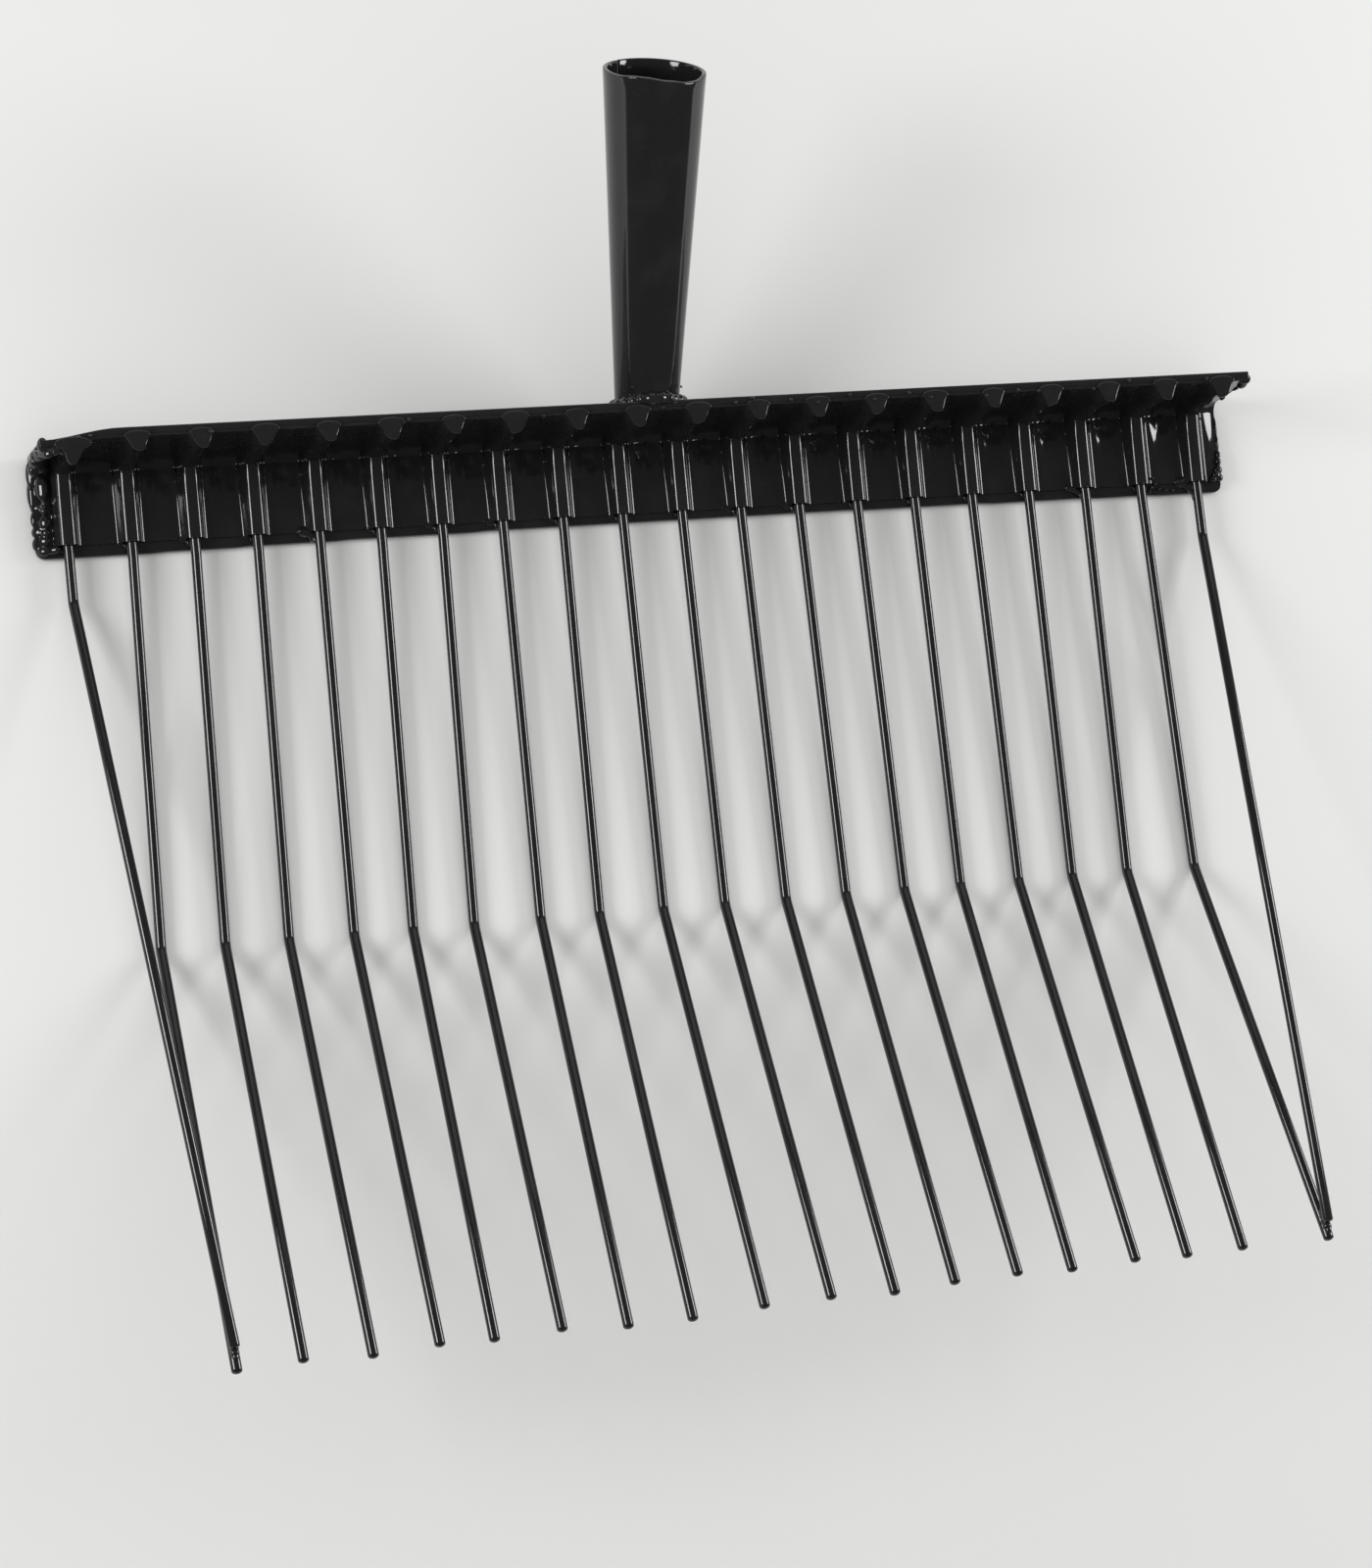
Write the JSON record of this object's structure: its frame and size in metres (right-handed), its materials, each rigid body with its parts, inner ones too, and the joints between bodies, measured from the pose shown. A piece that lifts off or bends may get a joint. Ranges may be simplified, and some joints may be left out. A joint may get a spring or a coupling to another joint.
{
  "type": "manure fork head",
  "caption": "Welded steel fork head with a row of bent wire tines gripped under a ribbed cover and a tapered handle socket.",
  "frame": {"origin": "on the backing angle's flat rear face, midway across the head and 13 mm above the cover's lower edge", "axes": "+X across the head, +Y along the head's back from the tines towards the handle socket, +Z out of the concave side, away from the floor that the fork lies on"},
  "size_m": [0.4426, 0.4371, 0.1001],
  "materials": {
    "backing_paint": "gloss",
    "cover_paint": "gloss",
    "tine_paint": "gloss",
    "socket_paint": "gloss",
    "weld_paint": "gloss"
  },
  "bodies": {
    "root": {"backing_angle": "backing_paint", "ribbed_cover": "cover_paint", "tine_01": "tine_paint", "tine_02": "tine_paint", "tine_03": "tine_paint", "tine_04": "tine_paint", "tine_05": "tine_paint", "tine_06": "tine_paint", "tine_07": "tine_paint", "tine_08": "tine_paint", "tine_09": "tine_paint", "tine_10": "tine_paint", "tine_11": "tine_paint", "tine_12": "tine_paint", "tine_13": "tine_paint", "tine_14": "tine_paint", "tine_15": "tine_paint", "tine_16": "tine_paint", "tine_17": "tine_paint", "tine_18": "tine_paint", "tine_19": "tine_paint", "tine_20": "tine_paint", "handle_socket": "socket_paint", "socket_base_weld": "weld_paint", "edge_weld_01": "weld_paint", "edge_weld_02": "weld_paint", "edge_weld_03": "weld_paint", "edge_weld_04": "weld_paint", "edge_weld_05": "weld_paint", "edge_weld_06": "weld_paint", "edge_weld_07": "weld_paint", "edge_weld_08": "weld_paint", "edge_weld_09": "weld_paint", "edge_weld_10": "weld_paint", "edge_weld_11": "weld_paint", "edge_weld_12": "weld_paint", "edge_weld_13": "weld_paint", "edge_weld_14": "weld_paint", "edge_weld_15": "weld_paint", "edge_weld_16": "weld_paint", "edge_weld_17": "weld_paint", "edge_weld_18": "weld_paint", "edge_weld_19": "weld_paint", "edge_weld_20": "weld_paint", "end_weld_left": "weld_paint", "end_weld_right": "weld_paint", "guard_tip_weld_left": "weld_paint", "guard_tip_weld_right": "weld_paint"}
  },
  "joints": []
}
